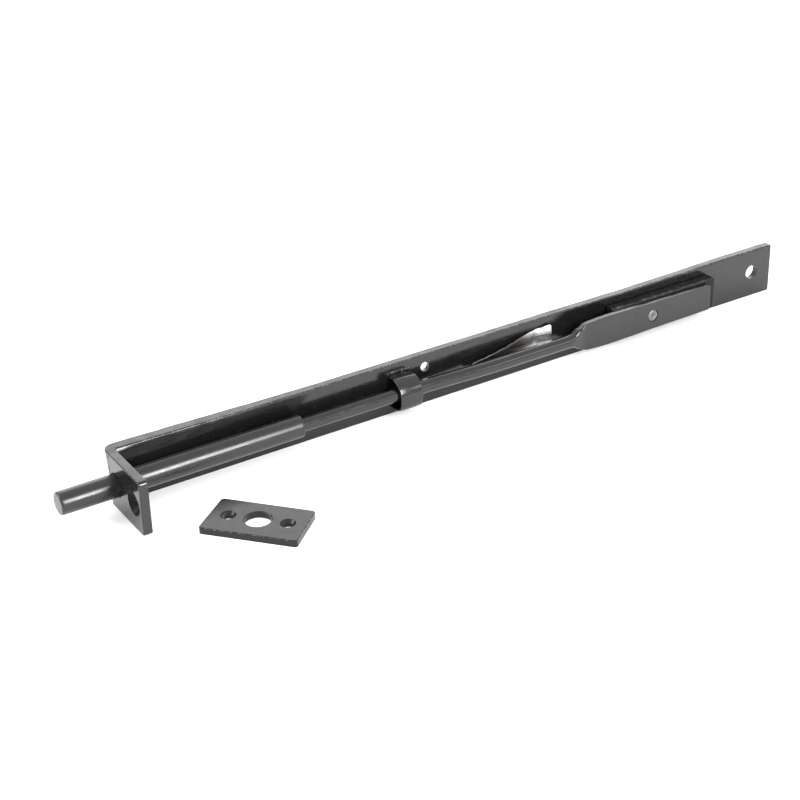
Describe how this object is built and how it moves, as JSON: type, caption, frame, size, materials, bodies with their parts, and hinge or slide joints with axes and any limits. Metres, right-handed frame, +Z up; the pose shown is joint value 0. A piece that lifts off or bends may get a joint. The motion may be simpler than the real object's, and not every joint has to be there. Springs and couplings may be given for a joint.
{
  "type": "toggle bolt latch",
  "caption": "Long black door bolt on a flat face plate with a bent foot: a round bolt slides through the foot, drawn by a toggle on the plate's outer side, with a loose keep plate.",
  "frame": {"origin": "on the bolt's axis, at the foot's outer face", "axes": "+X runs from the foot along the bolt to the plate's far end, +Y points through the face plate to its outer side, +Z is up across the plate's width"},
  "size_m": [0.394, 0.0838, 0.025],
  "materials": {
    "black_plate": "semi-gloss black paint, slightly uneven",
    "black_strap": "gloss black paint",
    "black_bolt": "gloss black paint, bare pale tip",
    "black_bar": "gloss black paint with drawing lines",
    "black_block": "rough cast face under black paint",
    "black_toggle": "semi-gloss black paint",
    "black_keep": "semi-gloss black paint",
    "spring_steel": "bright spring steel, tinted",
    "rivet_steel": "bare peened steel"
  },
  "bodies": {
    "frame": {"face_plate": "black_plate", "guide_strap": "black_strap", "keep_plate": "black_keep"},
    "bolt": {"bolt_shank": "black_bolt", "draw_bar": "black_bar", "leaf_spring": "spring_steel", "spring_rivet": "rivet_steel", "slider_block": "black_block", "toggle": "black_toggle", "toggle_rivet": "rivet_steel"}
  },
  "joints": [
    {"name": "bolt_slide", "type": "slide", "parent": "frame", "child": "bolt", "axis": [1, 0, 0], "range_m": [0, 0.026]}
  ]
}
